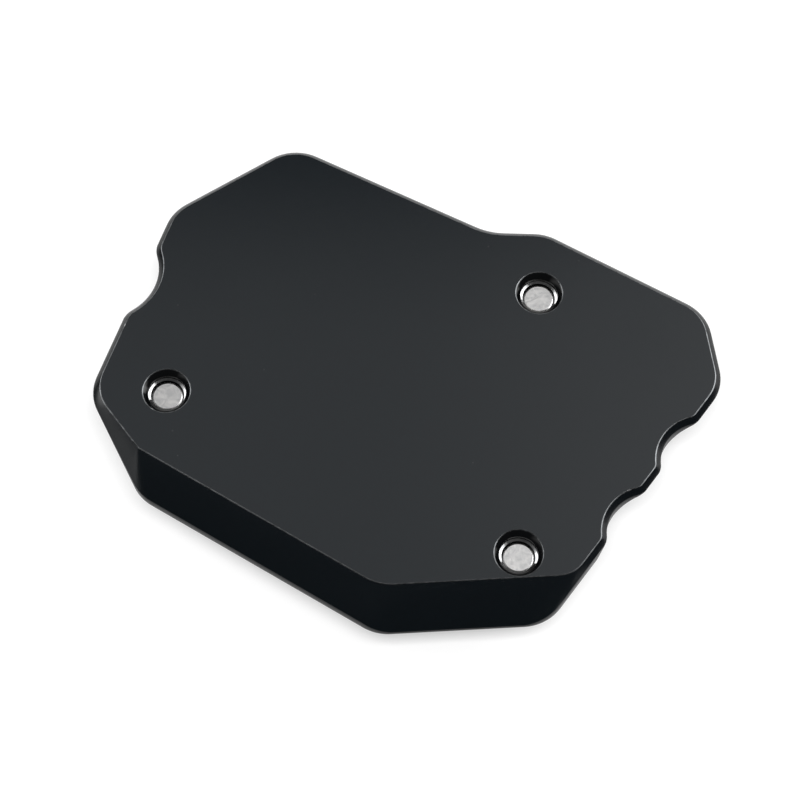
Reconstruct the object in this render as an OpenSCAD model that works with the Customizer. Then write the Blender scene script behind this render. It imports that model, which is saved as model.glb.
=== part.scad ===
// Enlarger for the foot of a motorbike side stand.
// A wide sole plate takes the stand's own foot in a pocket, and a clamp plate holds it there with three
// countersunk screws, whose ends show in the sole. The part lies as it does on a bench, sole upwards, on the
// clamp plate. The sole plate is milled from one block: its edge has a narrow bevel all round that opens into
// two broad ones along the front, and shallow scallops cut into both long sides.

/* [Sole plate] */
// Length of the sole plate along X: all its corners and screws follow it
plate_l = 101; // [92:0.5:115]
// Width of the sole plate along Y: all its corners and screws follow it
plate_w = 85.3; // [76:0.1:98]
// Thickness of the sole plate
sole_t = 6; // [5:0.5:9]
// Width and drop of the narrow bevel round the sole face
edge_bevel = 0.9; // [0.6:0.1:1.3]
// Height of the upright rim under the narrow bevel
rim_h = 0.15; // [0.1:0.05:0.8]
// Depth below the sole face at which the upright rim ends along the front
front_rim_depth = 3.5; // [3:0.1:4.5]
// Corner at the far left, X
left_corner_x = -50.05; // [-52.05:0.05:-48.05]
// Corner at the far left, Y
left_corner_y = 1.7; // [-0.3:0.05:3.7]
// Corner low on the left, where the broad bevels begin, X
low_left_corner_x = -41.15; // [-43.15:0.05:-39.15]
// Corner low on the left, where the broad bevels begin, Y
low_left_corner_y = -15.55; // [-17.55:0.05:-13.55]
// Corner at the front, X
front_corner_x = -3.8; // [-5.8:0.05:-1.8]
// Corner at the front, Y
front_corner_y = -38.25; // [-40.25:0.05:-36.25]
// Corner at the right end of the front edge, X
front_right_corner_x = 22.65; // [20.65:0.05:24.65]
// Corner at the right end of the front edge, Y
front_right_corner_y = -36.75; // [-38.75:0.05:-34.75]
// Corner low on the right, X
right_corner_x = 52; // [50:0.05:54]
// Corner low on the right, Y
right_corner_y = 2.85; // [0.85:0.05:4.85]
// Corner high on the right, X
high_right_corner_x = 50.05; // [48.05:0.05:52.05]
// Corner high on the right, Y
high_right_corner_y = 16.3; // [14.3:0.05:18.3]
// Right end of the short shelf in the back edge, X
shelf_right_x = 24.15; // [22.15:0.05:26.15]
// Right end of the short shelf in the back edge, Y
shelf_right_y = 31.2; // [29.2:0.05:33.2]
// Left end of the short shelf in the back edge, where the outline turns inwards, X
shelf_left_x = 14.7; // [12.7:0.05:16.7]
// Left end of the short shelf in the back edge, where the outline turns inwards, Y
shelf_left_y = 31.5; // [29.5:0.05:33.5]
// Corner at the back, X
back_corner_x = -18.1; // [-20.1:0.05:-16.1]
// Corner at the back, Y
back_corner_y = 48.3; // [46.35:0.05:50.35]
// Corner high on the left, X
high_left_corner_x = -38.05; // [-40.05:0.05:-36.05]
// Corner high on the left, Y
high_left_corner_y = 35.55; // [33.55:0.05:37.55]
// Rounding of the corners of the outline
corner_r = 7.6; // [6:0.1:10]
// Rounding of the shelf's inward corner
shelf_r = 11.3; // [6:0.1:14]

/* [Broad front bevels] */
// Width of the bevel along the front edge
front_bevel_w = 6.85; // [5:0.05:8]
// Drop of the bevel along the front edge
front_bevel_drop = 2.75; // [2:0.05:2.9]
// Width of the bevel along the front left edge
front_left_bevel_w = 6.1; // [5:0.05:8]
// Drop of the bevel along the front left edge
front_left_bevel_drop = 1.6; // [1.2:0.05:2.8]
// Width that the left bevel has opened to where it meets the front left one
left_bevel_w = 4.2; // [2:0.05:5]
// Rounding of the sole face between the front left and the front bevel
front_sole_r = 8; // [4:0.5:10]
// Rounding of the sole face between the front bevel and the right side
front_right_sole_r = 5; // [3:0.5:7]
// Rounding of the sole face between the left and the front left bevel
low_left_sole_r = 1.5; // [0.5:0.5:4]

/* [Scallops] */
// Radius of the hollow of the two scallops in the right side
right_scallop_r = 7; // [6:0.1:8]
// Depth of the two scallops in the right side
right_scallop_depth = 2.1; // [1:0.1:2.6]
// Rounding of the lips of the two scallops in the right side
right_lip_r = 2.8; // [2.5:0.1:4]
// Distance of the first right scallop from the low right corner
scallop_start = 12.95; // [12:0.05:14]
// Distance between the two right scallops
scallop_pitch = 15.2; // [14.5:0.1:16.5]
// Radius of the hollow of the scallop in the left side
left_scallop_r = 8.9; // [8:0.1:10]
// Depth of the scallop in the left side
left_scallop_depth = 2.55; // [1.05:0.05:3]
// Rounding of the lips of the scallop in the left side
left_lip_r = 3.8; // [2.5:0.1:6]
// Distance of the left scallop from the far left corner
left_scallop_at = 21.8; // [19:0.1:24]

/* [Screws] */
// Place of the back screw, X
back_screw_x = 22.75; // [21.25:0.05:24.25]
// Place of the back screw, Y
back_screw_y = 19.65; // [18.15:0.05:21.15]
// Place of the left screw, X
left_screw_x = -37.5; // [-39:0.05:-36]
// Place of the left screw, Y
left_screw_y = 1.85; // [0.35:0.05:3.35]
// Place of the front screw, X
front_screw_x = 18.35; // [16.85:0.05:19.85]
// Place of the front screw, Y
front_screw_y = -26.05; // [-27.55:0.05:-24.55]
// Diameter of the screws over the thread
screw_d = 6; // [5:0.5:6]
// Diameter of the flat end of a screw, inside its bevel
screw_end_d = 5; // [4:0.1:5]
// Depth of the screw ends below the sole face
screw_recess = 2; // [1.4:0.1:2.6]
// Diameter of a screw head
head_d = 11.4; // [10:0.1:12]
// Height of the straight edge of a screw head
head_edge = 0.4; // [0.2:0.1:0.8]
// Depth of a screw head below the face of the clamp plate
head_sink = 0.2; // [0.1:0.05:0.5]
// Width across flats of the hexagon socket
socket_af = 4; // [3:0.5:4]
// Depth of the hexagon socket
socket_depth = 2.4; // [1.5:0.1:2.8]
// Diameter of the bevelled mouth of the screw holes in the sole face
mouth_d = 7.7; // [7:0.1:8.4]
// Room all round a screw in its threaded hole
thread_gap = 0.05; // [0.03:0.01:0.1]
// Room all round a screw in the clamp plate
clamp_gap = 0.25; // [0.15:0.05:0.4]

/* [Clamp plate] */
// Thickness of the clamp plate
clamp_t = 5; // [4.5:0.1:6]
// Radius of the clamp plate round each screw
lobe_r = 7.5; // [7:0.1:8]
// Bevel along the outer edges of the clamp plate
clamp_bevel = 0.6; // [0.3:0.1:1]
// Width of the slot that the stand's leg passes through
slot_w = 22; // [18:0.5:24]

/* [Foot pocket] */
// Centre of the pocket for the stand's foot, X
pocket_x = -4; // [-5.5:0.1:-2.5]
// Centre of the pocket for the stand's foot, Y
pocket_y = 8; // [6.5:0.1:9.5]
// Width of the pocket
pocket_w = 30; // [27:0.5:32]
// Length of the pocket
pocket_l = 44; // [36:0.5:46]
// Rounding of the pocket's corners
pocket_r = 12; // [6:0.5:13]
// Depth of the pocket in the sole plate
pocket_depth = 3.2; // [2:0.1:3.6]
// Depth of the seat for the foot's upper edge in the clamp plate
seat_depth = 1.4; // [0.8:0.1:2]
// Width of the lip of the clamp plate over the closed end of the foot
lip_w = 4; // [3:0.5:6]

/* [Hidden] */
$fn = 96;
over = 1;
corner_steps = 9;
edge_steps = 5;
lobe_steps = 20;
lip_steps = 6;
hollow_steps = 16;
fit_gap = 0.02;
rim_step_from = 5.5;
rim_step_to = 7.5;

// The places above are given for a plate of this length and width, and move with the plate's own
drawn_l = 101;
drawn_w = 85.3;
function placed(x, y) = [x * plate_l / drawn_l, y * plate_w / drawn_w];
left_corner = placed(left_corner_x, left_corner_y);
low_left_corner = placed(low_left_corner_x, low_left_corner_y);
front_corner = placed(front_corner_x, front_corner_y);
front_right_corner = placed(front_right_corner_x, front_right_corner_y);
right_corner = placed(right_corner_x, right_corner_y);
high_right_corner = placed(high_right_corner_x, high_right_corner_y);
shelf_right = placed(shelf_right_x, shelf_right_y);
shelf_left = placed(shelf_left_x, shelf_left_y);
back_corner = placed(back_corner_x, back_corner_y);
high_left_corner = placed(high_left_corner_x, high_left_corner_y);
back_screw = placed(back_screw_x, back_screw_y);
left_screw = placed(left_screw_x, left_screw_y);
front_screw = placed(front_screw_x, front_screw_y);
pocket_at = placed(pocket_x, pocket_y);

sole_z = clamp_t + sole_t;
side_rim_depth = edge_bevel + rim_h;
hole_d = screw_d + 2 * thread_gap;
clearance_d = screw_d + 2 * clamp_gap;
mouth_depth = (mouth_d - hole_d) / 2;
screw_end_bevel = (screw_d - screw_end_d) / 2;
head_cone_h = (head_d - screw_d) / 2;
screw_places = [left_screw, back_screw, front_screw];
lobes = [left_screw, front_screw, back_screw];

// Plane vectors
function unit(v) = v / norm(v);
function left_of(v) = [-v.y, v.x];
function crossing(v, w) = v.x * w.y - v.y * w.x;
function blend(a, b, t) = a + (b - a) * t;
function meet(p, u, q, v) = p + u * crossing(q - p, v) / crossing(u, v);

// Where the side's upright rim changes height, from the lip of the second right scallop on
side_dir = unit(front_right_corner - right_corner);
second_scallop = scallop_start + scallop_pitch;
rim_step_low = right_corner + side_dir * (second_scallop + rim_step_to);
rim_step_high = right_corner + side_dir * (second_scallop + rim_step_from);

// One row for each corner, against the clock: its place, its rounding at the rim and at the sole face
convex_sole_r = corner_r - edge_bevel;
CORNERS = [
    [left_corner, corner_r, convex_sole_r],
    [low_left_corner, corner_r, low_left_sole_r],
    [front_corner, corner_r, front_sole_r],
    [front_right_corner, corner_r, front_right_sole_r],
    [rim_step_low, 0, 0],
    [rim_step_high, 0, 0],
    [right_corner, corner_r, convex_sole_r],
    [high_right_corner, corner_r, convex_sole_r],
    [shelf_right, corner_r, convex_sole_r],
    [shelf_left, shelf_r, shelf_r + edge_bevel],
    [back_corner, corner_r, convex_sole_r],
    [high_left_corner, corner_r, convex_sole_r]
];

// One row for each edge that follows its corner, each value given for the edge's start and its end: width of
// the bevel, drop of the bevel, depth at which the rim ends
plain_edge = [edge_bevel, edge_bevel, edge_bevel, edge_bevel, side_rim_depth, side_rim_depth];
EDGES = [
    [edge_bevel, left_bevel_w, edge_bevel, front_left_bevel_drop, side_rim_depth, front_rim_depth],
    [front_left_bevel_w, front_left_bevel_w, front_left_bevel_drop, front_left_bevel_drop,
        front_rim_depth, front_rim_depth],
    [front_bevel_w, front_bevel_w, front_bevel_drop, front_bevel_drop, front_rim_depth, front_rim_depth],
    [edge_bevel, edge_bevel, edge_bevel, edge_bevel, front_rim_depth, front_rim_depth],
    [edge_bevel, edge_bevel, edge_bevel, edge_bevel, front_rim_depth, side_rim_depth],
    plain_edge, plain_edge, plain_edge, plain_edge, plain_edge, plain_edge, plain_edge
];
count = len(CORNERS);
function before(i) = (i + count - 1) % count;
function after(i) = (i + 1) % count;
function place(i) = CORNERS[i][0];
function inward(i) = left_of(unit(place(after(i)) - place(i)));

// The bevel under the rim runs inwards at 45 degrees down to the clamp face
function under_inset(depth) = sole_t - depth;

// Inset of edge i at its start (end = 0) or its end (end = 1) on a level: 0 is the sole face, 1 and 2 are the
// rim and 3 is the clamp face
function inset(i, end, level) =
    level == 0 ? EDGES[i][end] : level == 3 ? under_inset(EDGES[i][4 + end]) : 0;
function edge_start(i, level) = place(i) + inward(i) * inset(i, 0, level);
function edge_end(i, level) = place(after(i)) + inward(i) * inset(i, 1, level);
function edge_dir(i, level) = unit(edge_end(i, level) - edge_start(i, level));
function depth(i, end, level) =
    level == 0 ? 0 : level == 1 ? EDGES[i][2 + end] : level == 2 ? EDGES[i][4 + end] : sole_t;

// Signed rounding of a corner on a level; an inward corner of the outline turns the other way
function turn(i) = sign(crossing(edge_dir(before(i), 1), edge_dir(i, 1)));
function rounding(i, level) =
    level == 0 ? CORNERS[i][2]
    : level == 3 ? CORNERS[i][1] - turn(i) * (inset(before(i), 1, 3) + inset(i, 0, 3)) / 2
    : CORNERS[i][1];

// Points of one rounded corner on a level, each with its height
function corner_points(i, level) =
    let (
        u = edge_dir(before(i), level),
        v = edge_dir(i, level),
        z0 = sole_z - depth(before(i), 1, level),
        z1 = sole_z - depth(i, 0, level)
    )
    CORNERS[i][1] == 0 ? [[edge_start(i, level).x, edge_start(i, level).y, z1]] :
    let (
        tip = meet(edge_start(before(i), level), u, edge_start(i, level), v),
        r = rounding(i, level),
        bend = asin(abs(crossing(u, v))),
        side = left_of(u) * turn(i),
        middle = tip - u * r * tan(bend / 2) + side * r
    )
    [for (k = [0:corner_steps])
        let (a = bend * k / corner_steps, p = middle - side * r * cos(a) + u * r * sin(a))
        [p.x, p.y, blend(z0, z1, k / corner_steps)]];

// An edge whose bevel changes on its way is cut into short stretches
function steps(i) = EDGES[i][0] == EDGES[i][1] ? 0 : edge_steps;

function ring(level) = [
    for (i = [0:count - 1])
        let (here = corner_points(i, level), next = corner_points(after(i), level))
        each concat(here, [for (k = [1:steps(i)]) blend(here[len(here) - 1], next[0], k / (steps(i) + 1))])
];

// The outline's own middle becomes the middle of the part
rim_ring = ring(1);
rim_xs = [for (p = rim_ring) p.x];
rim_ys = [for (p = rim_ring) p.y];
part_middle = [(min(rim_xs) + max(rim_xs)) / 2, (min(rim_ys) + max(rim_ys)) / 2];

module centred() {
    translate([-part_middle.x, -part_middle.y, 0]) children();
}

// Solid through a stack of rings that have the same number of points, lowest first
module loft(rings) {
    m = len(rings[0]);
    last = len(rings) - 1;
    sides = [
        for (j = [0:last - 1])
            for (i = [0:m - 1])
                let (a = j * m + i, b = j * m + (i + 1) % m)
                each [[a, b + m, b], [a, a + m, b + m]]
    ];
    lower = [for (i = [0:m - 1]) i];
    upper = [for (i = [m - 1:-1:0]) last * m + i];
    polyhedron([for (r = rings) each r], concat([lower, upper], sides), convexity = 6);
}

// Outline of a scallop in the frame of its edge, X outwards: a hollow between two rounded lips, drawn in by a
// margin
function scallop_ring(r, lip, cut, margin, z) =
    let (
        middle = r - cut,
        half = sqrt(pow(r + lip, 2) - pow(middle + lip, 2)),
        bend = atan2(half, middle + lip),
        near = lip - margin,
        far = r + margin
    )
    concat(
        [for (k = [0:lip_steps])
            let (a = bend * k / lip_steps) [near * cos(a) - lip, half - near * sin(a), z]],
        [for (k = [1:hollow_steps - 1])
            let (a = bend * (1 - 2 * k / hollow_steps)) [middle - far * cos(a), far * sin(a), z]],
        [for (k = [lip_steps:-1:0])
            let (a = bend * k / lip_steps) [near * cos(a) - lip, near * sin(a) - half, z]],
        [[r, -half, z], [r, half, z]]
    );

// A scallop through the edge that leaves a corner in direction dir, with the narrow bevel carried round it
module scallop(corner, dir, along, r, lip, cut) {
    at = corner + dir * along;
    out = crossing(dir, part_middle - corner) > 0 ? -left_of(dir) : left_of(dir);
    translate([at.x, at.y, 0])
        rotate([0, 0, atan2(out.y, out.x)])
            translate([fit_gap, 0, 0])
                loft([
                    scallop_ring(r, lip, cut, 0, clamp_t - over),
                    scallop_ring(r, lip, cut, 0, sole_z - edge_bevel),
                    scallop_ring(r, lip, cut, edge_bevel + over, sole_z + over)
                ]);
}

module scallops() {
    for (along = [scallop_start, second_scallop])
        scallop(right_corner, side_dir, along, right_scallop_r, right_lip_r, right_scallop_depth);
    scallop(left_corner, unit(high_left_corner - left_corner), left_scallop_at,
        left_scallop_r, left_lip_r, left_scallop_depth);
}

// A threaded hole with its bevelled mouth in the sole face
module screw_hole(at) {
    translate([at.x, at.y, 0]) {
        translate([0, 0, clamp_t - over]) cylinder(d = hole_d, h = sole_t + 2 * over);
        translate([0, 0, sole_z - mouth_depth])
            cylinder(d1 = hole_d, d2 = mouth_d + 2 * over, h = mouth_depth + over);
    }
}

// Rounded rectangle that the stand's foot fills, from height z0 up to z1
module pocket(z0, z1) {
    half = [pocket_w / 2 - pocket_r, pocket_l / 2 - pocket_r];
    translate([pocket_at.x, pocket_at.y, z0])
        linear_extrude(z1 - z0)
            union() {
                square([pocket_w, 2 * half.y], center = true);
                square([2 * half.x, pocket_l], center = true);
                for (sx = [-1, 1], sy = [-1, 1])
                    translate([sx * half.x, sy * half.y]) circle(r = pocket_r);
            }
}

module sole_plate() {
    color([0.13, 0.135, 0.14])
        centred()
            difference() {
                loft([ring(3), ring(2), rim_ring, ring(0)]);
                scallops();
                for (at = screw_places)
                    screw_hole(at);
                pocket(clamp_t - over, clamp_t + pocket_depth);
            }
}

// Outline of the clamp plate on one level: straight sides round three lobes, drawn in by a margin
function clamp_ring(margin, z) = [
    for (i = [0:2])
        let (
            p = lobes[i],
            u = unit(p - lobes[(i + 2) % 3]),
            v = unit(lobes[(i + 1) % 3] - p),
            r = lobe_r - margin,
            bend = acos(u * v)
        )
        for (k = [0:lobe_steps])
            let (a = bend * k / lobe_steps, q = p - left_of(u) * r * cos(a) + u * r * sin(a))
            [q.x, q.y, z]
];

// Slot for the leg, open at the back, with its round end over the closed end of the foot
module leg_slot() {
    end_y = pocket_at.y - pocket_l / 2 + lip_w + slot_w / 2;
    reach = back_screw.y + 2 * lobe_r - end_y;
    translate([pocket_at.x, end_y, -over]) {
        cylinder(d = slot_w, h = clamp_t + 2 * over);
        translate([-slot_w / 2, 0, 0]) cube([slot_w, reach, clamp_t + 2 * over]);
    }
}

// Countersunk clearance hole, with the same cone as the head
module head_hole(at) {
    cone_z = head_sink + head_edge;
    translate([at.x, at.y, 0]) {
        translate([0, 0, -over]) cylinder(d = clearance_d, h = clamp_t + 2 * over);
        translate([0, 0, -over]) cylinder(d = head_d + 2 * fit_gap, h = over + cone_z);
        translate([0, 0, cone_z])
            cylinder(d1 = head_d + 2 * fit_gap, d2 = screw_d + 2 * fit_gap, h = head_cone_h);
    }
}

module clamp_plate() {
    color([0.1, 0.1, 0.105])
        centred()
            difference() {
                loft([clamp_ring(clamp_bevel, 0), clamp_ring(0, clamp_bevel), clamp_ring(0, clamp_t)]);
                leg_slot();
                for (at = screw_places)
                    head_hole(at);
                pocket(clamp_t - seat_depth, clamp_t + over);
            }
}

// Countersunk screw with its head down, its socket open below and its bevelled end up
module screw(at) {
    length = sole_z - screw_recess - head_sink;
    color([0.75, 0.75, 0.74])
        centred()
            translate([at.x, at.y, head_sink])
                difference() {
                    union() {
                        cylinder(d = head_d, h = head_edge);
                        translate([0, 0, head_edge]) cylinder(d1 = head_d, d2 = screw_d, h = head_cone_h);
                        cylinder(d = screw_d, h = length - screw_end_bevel);
                        translate([0, 0, length - screw_end_bevel])
                            cylinder(d1 = screw_d, d2 = screw_end_d, h = screw_end_bevel);
                    }
                    translate([0, 0, -over])
                        cylinder(d = socket_af / cos(30), h = over + socket_depth, $fn = 6);
                }
}

sole_plate();
clamp_plate();
screw(left_screw);
screw(back_screw);
screw(front_screw);
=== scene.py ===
import math

import bpy
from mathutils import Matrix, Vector


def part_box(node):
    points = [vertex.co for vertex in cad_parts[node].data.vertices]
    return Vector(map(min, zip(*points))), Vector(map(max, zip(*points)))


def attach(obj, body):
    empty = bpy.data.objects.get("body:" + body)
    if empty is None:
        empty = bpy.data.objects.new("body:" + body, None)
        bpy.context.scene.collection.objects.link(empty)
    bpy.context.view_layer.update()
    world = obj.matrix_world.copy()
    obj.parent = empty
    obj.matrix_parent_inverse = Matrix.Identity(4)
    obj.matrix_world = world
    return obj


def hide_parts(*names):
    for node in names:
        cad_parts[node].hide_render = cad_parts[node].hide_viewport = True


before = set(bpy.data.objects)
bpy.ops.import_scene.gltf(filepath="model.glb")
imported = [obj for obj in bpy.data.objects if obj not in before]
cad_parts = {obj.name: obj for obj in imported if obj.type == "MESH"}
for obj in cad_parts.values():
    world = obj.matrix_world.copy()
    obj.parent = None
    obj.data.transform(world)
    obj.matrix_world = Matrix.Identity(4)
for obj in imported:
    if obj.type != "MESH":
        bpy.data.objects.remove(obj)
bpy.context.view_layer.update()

mm = 0.001


# Shader maths, written as expressions


class Value:
    def __init__(self, graph, socket):
        self.graph = graph
        self.socket = socket

    def math(self, operation, other, swap=False):
        inputs = [other, self] if swap else [self, other]
        return self.graph.add("ShaderNodeMath", {"operation": operation}, dict(enumerate(inputs)))

    def __add__(self, other):
        return self.math("ADD", other)

    def __radd__(self, other):
        return self.math("ADD", other, True)

    def __sub__(self, other):
        return self.math("SUBTRACT", other)

    def __rsub__(self, other):
        return self.math("SUBTRACT", other, True)

    def __mul__(self, other):
        return self.math("MULTIPLY", other)

    def __rmul__(self, other):
        return self.math("MULTIPLY", other, True)


class Graph:
    def __init__(self, tree):
        self.tree = tree
        tree.nodes.clear()

    def add(self, kind, settings=None, inputs=None, output=0):
        node = self.tree.nodes.new(kind)
        for name, value in (settings or {}).items():
            setattr(node, name, value)
        for name, value in (inputs or {}).items():
            if isinstance(value, Value):
                self.tree.links.new(value.socket, node.inputs[name])
            else:
                node.inputs[name].default_value = value
        return Value(self, node.outputs[output]) if len(node.outputs) else None

    def noise(self, place, scale, detail=2.0, roughness=0.5, swirl=0.0):
        inputs = {"Vector": place, "Scale": scale, "Detail": detail}
        inputs.update({"Roughness": roughness, "Distortion": swirl})
        return self.add("ShaderNodeTexNoise", {}, inputs)

    def ramp(self, value, low, high, outLow=0.0, outHigh=1.0):
        inputs = {"Value": value, "From Min": low, "From Max": high, "To Min": outLow, "To Max": outHigh}
        return self.add("ShaderNodeMapRange", {"clamp": True}, inputs)

    def mixColour(self, factor, first, second):
        inputs = {"Factor": factor, 6: first, 7: second}
        return self.add("ShaderNodeMix", {"data_type": "RGBA"}, inputs, 2)

    def bump(self, height, strength, distance):
        inputs = {"Height": height, "Strength": strength, "Distance": distance}
        return self.add("ShaderNodeBump", {}, inputs)

    def objectPlace(self):
        return self.add("ShaderNodeTexCoord", output=3)

    def axis(self, vector, number):
        return self.add("ShaderNodeSeparateXYZ", {}, {"Vector": vector}, number)

    def vectorMath(self, operation, inputs):
        return self.add("ShaderNodeVectorMath", {"operation": operation}, dict(enumerate(inputs)), 1)

    def seenByCamera(self):
        return self.add("ShaderNodeLightPath", output=0)

    def principled(self, inputs):
        shader = self.add("ShaderNodeBsdfPrincipled", {}, inputs)
        self.add("ShaderNodeOutputMaterial", {}, {"Surface": shader})


def newMaterial(name):
    material = bpy.data.materials.new(name)
    material.use_nodes = True
    return material, Graph(material.node_tree)


def rgb(r, g, b):
    return (r, g, b, 1.0)


def lighter(colour, factor):
    return rgb(*(min(1.0, factor * channel) for channel in colour[:3]))


# Black anodised aluminium: dark under a clear, slightly glossy oxide. The bevel, rim and bore entries
# are darker copies of the same finish: painted shade on the sloped and upright faces and in the holes.

anodisedSettings = {
    "anodised sole": {
        "colour": rgb(0.0020, 0.0036, 0.0050),
        "roughness": 0.13,
        "grain": 0.20,
        "shine": 0.5,
    },
    # A darker copy of the sole's finish: painted shade on the sloped bevels
    "anodised bevel painted shade": {
        "colour": rgb(0.0013, 0.0022, 0.0030),
        "roughness": 0.20,
        "grain": 0.15,
        "shine": 0.5,
    },
    # A darker, less glossy copy of the sole's finish: painted shade on the upright rim faces
    "anodised rim painted shade": {
        "colour": rgb(0.0013, 0.0022, 0.0030),
        "roughness": 0.25,
        "grain": 0.15,
        "shine": 0.1,
    },
    # A darker copy of the sole's finish: painted shade inside the holes
    "anodised bore painted shade": {
        "colour": rgb(0.0010, 0.0012, 0.0014),
        "roughness": 0.12,
        "grain": 0.08,
        "shine": 0.5,
    },
}

oxideSettings = {
    "grainScale": 5200.0,
    "grainLight": 1.7,
    "grainRough": 0.10,
    "cloudScale": 45.0,
    "cloudRough": 0.08,
    "rippleScale": 1400.0,
    "ripple": 0.3,
    "depth": 0.02 * mm,
    "speckScale": 520.0,
    "speckSize": (0.05, 0.09),
    "patchScale": 260.0,
    "patchEdge": (0.62, 0.66),
    "speckShare": 0.12,
    "speckColour": rgb(0.12, 0.12, 0.12),
}


def anodisedMaterial(name, settings, oxide):
    material, graph = newMaterial(name)
    place = graph.objectPlace()
    grain = graph.noise(place, oxide["grainScale"], 3.0, 0.65)
    cloud = graph.noise(place, oxide["cloudScale"], 3.0)
    cells = graph.add("ShaderNodeTexVoronoi", {}, {"Vector": place, "Scale": oxide["speckScale"]})
    patches = graph.ramp(graph.noise(place, oxide["patchScale"]), *oxide["patchEdge"])
    specks = graph.ramp(cells, *oxide["speckSize"], 1.0, 0.0) * patches
    dark = settings["colour"]
    colour = graph.mixColour(graph.ramp(grain, 0.3, 0.7), dark, lighter(dark, oxide["grainLight"]))
    colour = graph.mixColour(specks * oxide["speckShare"], colour, oxide["speckColour"])
    roughness = settings["roughness"] + oxide["cloudRough"] * (cloud - 0.5)
    roughness = roughness + oxide["grainRough"] * (grain - 0.5)
    height = grain + oxide["ripple"] * graph.noise(place, oxide["rippleScale"])
    graph.principled({
        "Base Color": colour,
        "Roughness": roughness,
        "Specular IOR Level": settings["shine"],
        "Normal": graph.bump(height, settings["grain"], oxide["depth"]),
    })
    return material


# Where the oxide is thin at a broken edge, the metal under it glints, and nicks show it bare. The edges
# are also painted lighter towards the back and darker at the front: painted light and painted shade.

edgeSettings = {
    "thin": rgb(0.12, 0.124, 0.128),
    "bare": rgb(0.62, 0.62, 0.63),
    # Lightness ranges of the thin-oxide colour: darker at the front edges (painted shade), lighter at
    # the back ones (painted light); the spread within each range is wear
    "frontPaintedShade": (0.6, 1.5),
    "backPaintedLight": (1.0, 2.4),
    # Span in y over which the painted light grows from the front edges to the back edges
    "front": (-34 * mm, -20 * mm),
    "wearScale": 900.0,
    "nickScale": 620.0,
    "nickEdge": (0.74, 0.78),
    "roughness": 0.30,
    "wearRough": 0.2,
}


def edgeMaterial(name, settings):
    material, graph = newMaterial(name)
    place = graph.objectPlace()
    wear = graph.noise(place, settings["wearScale"], 3.0, 0.6)
    nicks = graph.ramp(graph.noise(place, settings["nickScale"], 1.0), *settings["nickEdge"])
    worn = graph.ramp(wear, 0.3, 0.7)
    frontShadedMetal, backLitMetal = (
        graph.mixColour(worn, *(lighter(settings["thin"], shade) for shade in settings[shades]))
        for shades in ("frontPaintedShade", "backPaintedLight")
    )
    # Painted light: the edge colour turns lighter from the front edges to the back edges
    paintedLightTowardsBack = graph.ramp(graph.axis(place, 1), *settings["front"])
    thin = graph.mixColour(paintedLightTowardsBack, frontShadedMetal, backLitMetal)
    graph.principled({
        "Base Color": graph.mixColour(nicks, thin, settings["bare"]),
        "Metallic": 1.0,
        "Roughness": settings["roughness"] + settings["wearRough"] * (wear - 0.5),
    })
    return material


# Zinc plated steel of the screws, and the metal rubbed bare in the threads

bareSettings = {
    "zinc end": {
        "dark": rgb(0.70, 0.70, 0.70),
        "light": rgb(0.97, 0.96, 0.95),
        "roughness": 0.34,
        "bump": 0.45,
    },
    "zinc turned": {
        "dark": rgb(0.85, 0.85, 0.85),
        "light": rgb(0.97, 0.97, 0.96),
        "roughness": 0.22,
        "bump": 0.15,
    },
    "rubbed thread": {
        "dark": rgb(0.50, 0.51, 0.52),
        "light": rgb(0.85, 0.85, 0.85),
        "roughness": 0.20,
        "bump": 0.20,
    },
}

platingSettings = {
    "mottleScale": 620.0,
    "swirl": 1.6,
    "mottleEdge": (0.35, 0.65),
    "mottleRough": 0.25,
    "fineScale": 3500.0,
    "fine": 0.3,
    "depth": 0.06 * mm,
}


def bareMaterial(name, settings, plating):
    material, graph = newMaterial(name)
    place = graph.objectPlace()
    mottle = graph.noise(place, plating["mottleScale"], 4.0, 0.55, plating["swirl"])
    shade = graph.ramp(mottle, *plating["mottleEdge"])
    height = mottle + plating["fine"] * graph.noise(place, plating["fineScale"])
    graph.principled({
        "Base Color": graph.mixColour(shade, settings["dark"], settings["light"]),
        "Metallic": 1.0,
        "Roughness": settings["roughness"] + plating["mottleRough"] * (mottle - 0.5),
        "Normal": graph.bump(height, settings["bump"], plating["depth"]),
    })
    return material


materials = {"worn edge with painted light": edgeMaterial("worn edge with painted light", edgeSettings)}
for name, settings in anodisedSettings.items():
    materials[name] = anodisedMaterial(name, settings, oxideSettings)
for name, settings in bareSettings.items():
    materials[name] = bareMaterial(name, settings, platingSettings)
print("materials made")


# Modelling helpers

meshSettings = {
    "merge": 0.002 * mm,
    "flatAngle": 0.05,
    "quadAngle": 15,
    "sharpAngle": 12,
    "smoothAngle": 30,
    "breakSteps": 3,
    "levelRoom": 0.005 * mm,
    "edgeRoom": 0.01 * mm,
    "flat": 0.9999,
}


def activate(piece):
    bpy.ops.object.select_all(action="DESELECT")
    piece.select_set(True)
    bpy.context.view_layer.objects.active = piece


def applyModifier(piece, kind, settings):
    activate(piece)
    modifier = piece.modifiers.new(kind, kind)
    for name, value in settings.items():
        setattr(modifier, name, value)
    bpy.ops.object.modifier_apply(modifier=modifier.name)


def smooth(piece):
    activate(piece)
    bpy.ops.object.shade_smooth_by_angle(angle=math.radians(meshSettings["smoothAngle"]))


def clearChoice(piece):
    for kind in (piece.data.vertices, piece.data.edges, piece.data.polygons):
        kind.foreach_set("select", [False] * len(kind))


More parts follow.
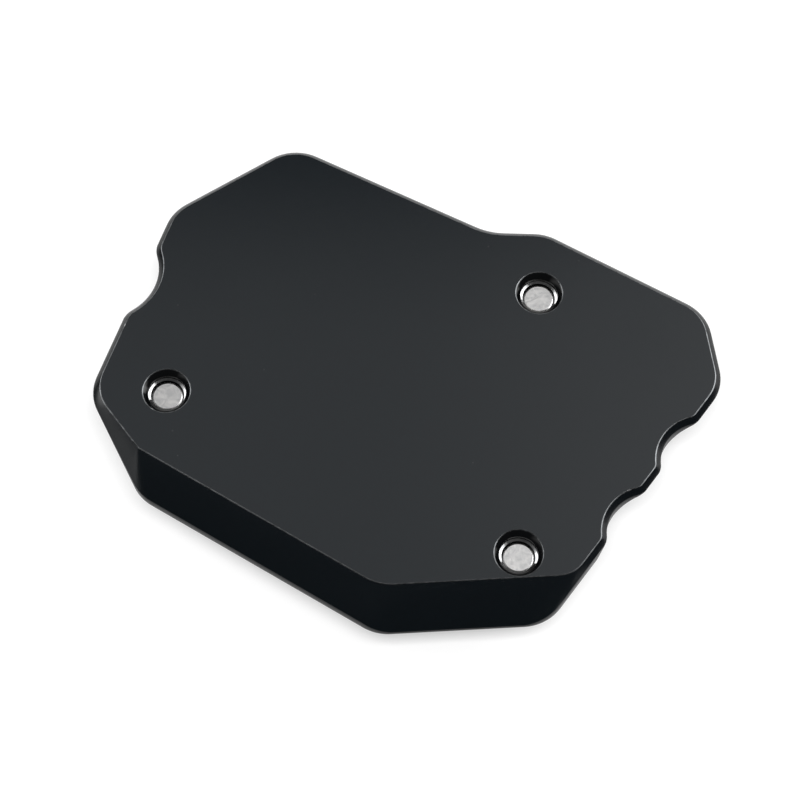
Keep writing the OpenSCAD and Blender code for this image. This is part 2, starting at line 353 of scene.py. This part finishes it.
def chooseEdges(piece, test):
    activate(piece)
    bpy.ops.object.mode_set(mode="EDIT")
    bpy.ops.mesh.select_all(action="DESELECT")
    bpy.ops.mesh.select_mode(type="EDGE")
    bpy.ops.mesh.edges_select_sharp(sharpness=math.radians(meshSettings["sharpAngle"]))
    bpy.ops.object.mode_set(mode="OBJECT")
    points = [vertex.co.copy() for vertex in piece.data.vertices]
    sharp = [edge for edge in piece.data.edges if edge.select]
    chosen = [edge.index for edge in sharp if test(*(points[number] for number in edge.vertices))]
    clearChoice(piece)
    for index in chosen:
        piece.data.edges[index].select = True
    bpy.ops.object.mode_set(mode="EDIT")


def breakChosen(piece, width, slot):
    steps = meshSettings["breakSteps"]
    bpy.ops.mesh.bevel(offset=width, segments=steps, affect="EDGES", clamp_overlap=False, material=slot)
    bpy.ops.object.mode_set(mode="OBJECT")


def breakEdges(piece, settings):
    bevel = {
        "width": settings["edgeBreak"],
        "segments": meshSettings["breakSteps"],
        "limit_method": "ANGLE",
        "angle_limit": math.radians(settings["sharpAngle"]),
        "material": settings["edgeSlot"],
        "use_clamp_overlap": True,
    }
    applyModifier(piece, "BEVEL", bevel)
    smooth(piece)


def isFlat(face):
    return abs(face.normal.z) > meshSettings["flat"]


def atLevel(height, level):
    return abs(height - level) < meshSettings["levelRoom"]


def chooseLevel(piece, level):
    activate(piece)
    clearChoice(piece)
    for face in piece.data.polygons:
        face.select = isFlat(face) and atLevel(face.center.z, level)
    bpy.ops.object.mode_set(mode="EDIT")
    bpy.ops.mesh.select_mode(type="FACE")


# A flat face of the part's mesh is folded in one place, so it is deleted and filled anew

def refillLevel(piece, level, border):
    chooseLevel(piece, level)
    bpy.ops.mesh.delete(type="FACE")
    bpy.ops.mesh.select_mode(type="EDGE")
    bpy.ops.mesh.select_non_manifold(extend=False)
    bpy.ops.mesh.fill(use_beauty=True)
    bpy.ops.mesh.select_all(action="SELECT")
    bpy.ops.mesh.normals_make_consistent(inside=False)
    bpy.ops.object.mode_set(mode="OBJECT")
    chooseLevel(piece, level)
    bpy.ops.mesh.inset(thickness=border, use_even_offset=True)
    bpy.ops.object.mode_set(mode="OBJECT")


def flatten(piece, level):
    activate(piece)
    bpy.ops.object.mode_set(mode="EDIT")
    bpy.ops.mesh.select_all(action="DESELECT")
    bpy.ops.mesh.select_mode(type="VERT")
    bpy.ops.object.mode_set(mode="OBJECT")
    for vertex in piece.data.vertices:
        vertex.select = atLevel(vertex.co.z, level)
    bpy.ops.object.mode_set(mode="EDIT")
    bpy.ops.transform.resize(value=(1, 1, 0), center_override=(0, 0, level))
    bpy.ops.object.mode_set(mode="OBJECT")


def copyNode(node, name, slots):
    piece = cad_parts[node].copy()
    piece.data = piece.data.copy()
    piece.name = name
    piece.parent = None
    bpy.context.scene.collection.objects.link(piece)
    piece.matrix_world.identity()
    activate(piece)
    quadAngle = math.radians(meshSettings["quadAngle"])
    bpy.ops.object.mode_set(mode="EDIT")
    bpy.ops.mesh.select_all(action="SELECT")
    bpy.ops.mesh.remove_doubles(threshold=meshSettings["merge"])
    bpy.ops.mesh.dissolve_limited(angle_limit=math.radians(meshSettings["flatAngle"]))
    bpy.ops.mesh.tris_convert_to_quads(face_threshold=quadAngle, shape_threshold=math.pi)
    bpy.ops.object.mode_set(mode="OBJECT")
    piece.data.materials.clear()
    for slot in slots:
        piece.data.materials.append(materials[slot])
    return piece


def finishPiece(piece, node):
    for face in piece.data.polygons:
        if isFlat(face):
            face.use_smooth = False
    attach(piece, "root")
    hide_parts(node)
    print(piece.name, len(piece.data.polygons), "faces")


# Pieces

screwNodes = {"left_screw": "leftScrew", "back_screw": "backScrew", "front_screw": "frontScrew"}


def screwPlace(node):
    low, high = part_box(node)
    return (Vector(low) + Vector(high)).to_2d() / 2


screwPlaces = {node: screwPlace(node) for node in screwNodes}
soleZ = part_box("sole_plate")[1][2]


# The thread of a hole, seen between the screw's end and the bevelled mouth

threadSettings = {
    "middle": 3.08 * mm,
    "reach": 0.40 * mm,
    "flank": 30,
    "pitch": 1.0 * mm,
    "overEnd": -0.12 * mm,
    "start": -20,
    "turn": 220,
    "steps": 72,
}


def makeThread(node, settings):
    place = screwPlaces[node]
    middle = (place.x, place.y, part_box(node)[1][2] + settings["overEnd"])
    bpy.ops.object.select_all(action="DESELECT")
    bpy.ops.mesh.primitive_circle_add(vertices=4, radius=settings["reach"], location=middle)
    thread = bpy.context.active_object
    bpy.ops.object.mode_set(mode="EDIT")
    bpy.ops.transform.rotate(value=math.radians(90), orient_axis="X")
    bpy.ops.transform.resize(value=(1, 1, math.tan(math.radians(settings["flank"]))))
    bpy.ops.transform.translate(value=(settings["middle"], 0, 0))
    bpy.ops.object.mode_set(mode="OBJECT")
    turn = {
        "angle": math.radians(settings["turn"]),
        "screw_offset": settings["pitch"] * settings["turn"] / 360,
        "steps": settings["steps"],
        "render_steps": settings["steps"],
    }
    applyModifier(thread, "SCREW", turn)
    bpy.ops.object.mode_set(mode="EDIT")
    bpy.ops.mesh.select_all(action="SELECT")
    bpy.ops.mesh.fill_holes(sides=4)
    bpy.ops.mesh.normals_make_consistent(inside=False)
    bpy.ops.object.mode_set(mode="OBJECT")
    thread.rotation_euler.z = math.radians(settings["start"])
    thread.data.materials.append(materials["rubbed thread"])
    smooth(thread)
    return thread


soleSettings = {
    "slots": ("anodised sole", "anodised bevel painted shade", "worn edge with painted light", "anodised bore painted shade", "anodised rim painted shade"),
    "bevelSlot": 1,
    "edgeSlot": 2,
    "boreSlot": 3,
    "rimSlot": 4,
    "border": 0.11 * mm,
    "edgeBreak": 0.10 * mm,
    "rimBreak": 0.04 * mm,
    "mouthReach": 3.75 * mm,
    "mouthDepth": 0.12 * mm,
    "flat": 0.999,
    "upright": 0.3,
}


def inMouth(point, settings):
    away = min((Vector(point[:2]) - place).length for place in screwPlaces.values())
    return away < settings["mouthReach"] and point[2] < soleZ - settings["mouthDepth"]


def soleSlot(face, settings):
    # Hole walls take the darker bore copy: painted shade in the holes
    if inMouth(face.center, settings):
        return settings["boreSlot"]
    if face.material_index == settings["edgeSlot"] or face.normal.z >= settings["flat"]:
        return face.material_index
    # Painted shade by slope: upright faces take the darker, less glossy rim copy, sloped faces the
    # darker bevel copy
    return settings["rimSlot"] if face.normal.z < settings["upright"] else settings["bevelSlot"]


def makeSolePlate(settings):
    piece = copyNode("sole_plate", "solePlate", settings["slots"])
    refillLevel(piece, soleZ, settings["border"])
    top = soleZ - meshSettings["edgeRoom"]
    chooseEdges(piece, lambda a, b: min(a.z, b.z) > top)
    breakChosen(piece, settings["edgeBreak"], settings["edgeSlot"])
    chooseEdges(piece, lambda a, b: max(a.z, b.z) < top - settings["edgeBreak"])
    breakChosen(piece, settings["rimBreak"], settings["bevelSlot"])
    flatten(piece, soleZ)
    smooth(piece)
    for face in piece.data.polygons:
        face.material_index = soleSlot(face, settings)
    threads = [makeThread(node, threadSettings) for node in screwNodes]
    activate(piece)
    for thread in threads:
        thread.select_set(True)
    bpy.ops.object.join()
    finishPiece(piece, "sole_plate")


clampSettings = {
    "slots": ("anodised sole", "anodised bevel painted shade", "worn edge with painted light"),
    "edgeBreak": 0.12 * mm,
    "sharpAngle": 20,
    "edgeSlot": 2,
}


def makeClampPlate(settings):
    piece = copyNode("clamp_plate", "clampPlate", settings["slots"])
    breakEdges(piece, settings)
    finishPiece(piece, "clamp_plate")


screwSettings = {
    "slots": ("zinc end", "zinc turned"),
    "endBreak": 0.28 * mm,
    "edgeBreak": 0.16 * mm,
    "sharpAngle": 20,
    "edgeSlot": 1,
    "facing": 0.9,
}


def makeScrew(node, name, settings):
    piece = copyNode(node, name, settings["slots"])
    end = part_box(node)[1][2] - meshSettings["edgeRoom"]
    chooseEdges(piece, lambda a, b: min(a.z, b.z) > end)
    breakChosen(piece, settings["endBreak"], settings["edgeSlot"])
    breakEdges(piece, settings)
    for face in piece.data.polygons:
        if face.normal.z < settings["facing"]:
            face.material_index = settings["edgeSlot"]
    finishPiece(piece, node)


makeSolePlate(soleSettings)
makeClampPlate(clampSettings)
for node, name in screwNodes.items():
    makeScrew(node, name, screwSettings)


# Stage

floorSettings = {
    "size": 3.0,
    "sink": 0.02 * mm,
    "colour": rgb(0.45, 0.45, 0.45),
    "glow": 0.555,
    "near": 0.075,
    "far": 0.16,
    "mirrored": (0.45, 0.08),
}


def makeFloor(settings):
    bpy.ops.mesh.primitive_plane_add(size=settings["size"], location=(0, 0, -settings["sink"]))
    floor = bpy.context.active_object
    floor.name = "floor"
    material, graph = newMaterial("paper")
    away = graph.vectorMath("LENGTH", [graph.objectPlace()])
    mirrored = graph.ramp(away, settings["near"], settings["far"], *settings["mirrored"])
    seen = graph.seenByCamera()
    graph.principled({
        "Base Color": settings["colour"],
        "Roughness": 0.9,
        "Specular IOR Level": 0.0,
        "Emission Color": rgb(1, 1, 1),
        "Emission Strength": settings["glow"] * (seen + (1 - seen) * mirrored),
    })
    floor.data.materials.append(material)


keySettings = {"place": Vector((0.0, -0.242, 0.970)), "size": (0.62, 0.25), "energy": 9.0}


def makeKey(settings):
    bpy.ops.object.light_add(type="AREA", location=settings["place"])
    light = bpy.context.active_object
    light.name = "key"
    light.data.shape = "RECTANGLE"
    light.data.size, light.data.size_y = settings["size"]
    light.data.energy = settings["energy"]
    light.visible_glossy = False
    light.rotation_euler = (-settings["place"]).to_track_quat("-Z", "Y").to_euler()


# The studio that the part mirrors: a soft box overhead to the back, a strip, two lamps and a wall behind

studioSettings = {
    "fill": 0.05,
    "box": {"front": (0.10, 0.22), "back": (0.53, 0.49), "left": (-0.50, -0.25), "level": 0.65},
    "glowRight": {"x": (0.0, 0.2), "level": 0.55},
    "leftStrip": {"x": (-0.66, -0.86), "z": (0.22, 0.36), "level": 0.60},
    "rightLamp": {"towards": Vector((0.74, 0.31, 0.60)), "edge": (0.87, 0.92), "level": 2.0},
    "leftLamp": {"towards": Vector((-0.755, 0.352, 0.553)), "edge": (0.93, 0.96), "level": 2.0},
    "wall": {"y": (0.62, 0.80), "z": (0.0, 0.2), "level": 0.45},
}


def makeStudio(settings):
    world = bpy.data.worlds.new("studio")
    bpy.context.scene.world = world
    world.use_nodes = True
    graph = Graph(world.node_tree)
    direction = graph.add("ShaderNodeTexCoord", output=0)
    x, y, z = (graph.axis(direction, number) for number in range(3))
    box = settings["box"]
    glow = settings["glowRight"]
    level = box["level"] + glow["level"] * graph.ramp(x, *glow["x"])
    level = level * graph.ramp(x, *box["left"])
    level = level * graph.ramp(y, *box["front"]) * graph.ramp(y, *box["back"])
    strip = settings["leftStrip"]
    level = level + strip["level"] * graph.ramp(x, *strip["x"]) * graph.ramp(z, *strip["z"])
    for lamp in (settings["leftLamp"], settings["rightLamp"]):
        facing = graph.vectorMath("DOT_PRODUCT", [direction, lamp["towards"].normalized()])
        level = level + lamp["level"] * graph.ramp(facing, *lamp["edge"])
    wall = settings["wall"]
    level = level + wall["level"] * graph.ramp(y, *wall["y"]) * graph.ramp(z, *wall["z"])
    level = level + settings["fill"]
    seen = graph.seenByCamera()
    strength = seen + (1 - seen) * level
    background = graph.add("ShaderNodeBackground", {}, {"Color": rgb(1, 1, 1), "Strength": strength})
    graph.add("ShaderNodeOutputWorld", {}, {"Surface": background})


cameraSettings = {
    "place": Vector((-1.183, -157.94, 331.63)) * mm,
    "elevation": 64.4,
    "lens": 100.0,
    "sensor": 36.0,
    "clip": 0.01,
}


def makeCamera(settings):
    tilt = math.radians(90 - settings["elevation"])
    bpy.ops.object.camera_add(location=settings["place"], rotation=(tilt, 0, 0))
    camera = bpy.context.active_object
    camera.data.lens = settings["lens"]
    camera.data.sensor_width = settings["sensor"]
    camera.data.clip_start = settings["clip"]
    bpy.context.scene.camera = camera


makeFloor(floorSettings)
makeKey(keySettings)
makeStudio(studioSettings)
makeCamera(cameraSettings)
bpy.context.scene.view_settings.view_transform = "Standard"
print("stage made")
